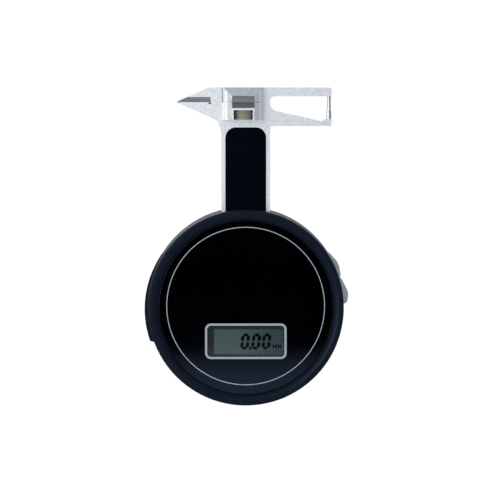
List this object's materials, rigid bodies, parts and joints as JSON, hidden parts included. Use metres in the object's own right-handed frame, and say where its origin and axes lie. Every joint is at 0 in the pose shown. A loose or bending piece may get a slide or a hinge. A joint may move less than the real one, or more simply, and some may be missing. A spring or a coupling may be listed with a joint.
{
  "type": "gemstone lever gauge",
  "caption": "Hand-held digital gauge for gemstones: a round body with a display, a neck and a head with beak, anvils and pins; a side lever opens the upper jaw.",
  "frame": {"origin": "centre of the round body's flat back face", "axes": "+Z out of the display, +Y along the neck to the jaws, +X to the right as one reads the display"},
  "size_m": [0.0681, 0.1058, 0.021],
  "materials": {
    "shell": "satin black moulded plastic",
    "panel": "glossy black sheet",
    "lens": "clear polished plastic",
    "cell": "grey-green liquid crystal cell",
    "white_plastic": "natural moulded plastic",
    "elastomer": "soft rubber",
    "board": "lacquered circuit board",
    "chip": "moulded package",
    "screw_steel": "zinc plated",
    "frame_metal": "fine bead-blasted",
    "inlay": "smooth black",
    "bar_steel": "ground steel",
    "anvil_steel": "hardened dark steel, lapped",
    "brass": "turned brass",
    "button": "pale grey soft-touch plastic",
    "contact": "nickel-plated spring strip"
  },
  "bodies": {
    "housing": {"rear_housing": "shell", "front_housing": "shell", "display_panel": "panel", "display_lens": "lens", "lcd_glass": "cell", "display_carrier": "white_plastic", "contact_strips": "elastomer", "main_board": "board", "processor_chip": "chip", "board_screws": "screw_steel", "neck_frame": "frame_metal", "neck_cover": "inlay", "bar_guides": "white_plastic", "lower_anvil": "anvil_steel", "anvil_screw": "brass", "lower_probe_pin": "bar_steel", "sensor_board": "board", "lever_pivot_pin": "bar_steel", "gear_pin": "bar_steel", "retaining_rings": "screw_steel", "return_spring": "bar_steel", "side_switches": "chip", "coin_cell": "bar_steel", "positive_contact": "contact", "negative_contact": "contact", "rear_screws": "screw_steel", "frame_screws": "screw_steel"},
    "jaw": {"slide_bar": "bar_steel", "upper_jaw": "frame_metal", "jaw_screws": "screw_steel", "upper_anvil": "anvil_steel", "upper_beak_blade": "anvil_steel", "upper_probe_pin": "bar_steel", "scale_strip": "board"},
    "lever": {"thumb_lever": "shell"},
    "gear": {"drive_gear": "brass"},
    "power_key": {"power_button": "button"},
    "zero_key": {"zero_button": "button"},
    "battery_door": {"battery_cover": "shell", "battery_seal": "elastomer"}
  },
  "joints": [
    {"name": "jaw_slide", "type": "slide", "parent": "housing", "child": "jaw", "axis": [0, 1, 0], "range_m": [0, 0.025], "stiffness_N_per_m": 30, "springref_m": -0.03},
    {"name": "lever_swing", "type": "hinge", "parent": "housing", "child": "lever", "pos_m": [-0.02425, 0.014, 0.0056], "axis": [0, 0, 1], "range_deg": [0, 18.28], "deforming": ["return_spring"]},
    {"name": "gear_spin", "type": "hinge", "parent": "housing", "child": "gear", "pos_m": [-0.0116, -0.00201, 0.0056], "axis": [0, 0, 1], "range_deg": [0, 204.7]},
    {"name": "power_press", "type": "slide", "parent": "housing", "child": "power_key", "axis": [-0.9096, -0.4155, 0], "range_m": [0, 0.0005], "stiffness_N_per_m": 2500, "springref_m": -0.0001},
    {"name": "zero_press", "type": "slide", "parent": "housing", "child": "zero_key", "axis": [-0.988, -0.1547, 0], "range_m": [0, 0.0005], "stiffness_N_per_m": 2500, "springref_m": -0.0001},
    {"name": "battery_twist", "type": "hinge", "parent": "housing", "child": "battery_door", "pos_m": [0.0105, -0.011, 0.001], "axis": [0, 0, 1], "range_deg": [0, 45]}
  ],
  "couplings": [
    {"joint": "lever_swing", "follows": "jaw_slide", "rad_per_m": 12.755},
    {"joint": "gear_spin", "follows": "jaw_slide", "rad_per_m": 142.86}
  ]
}
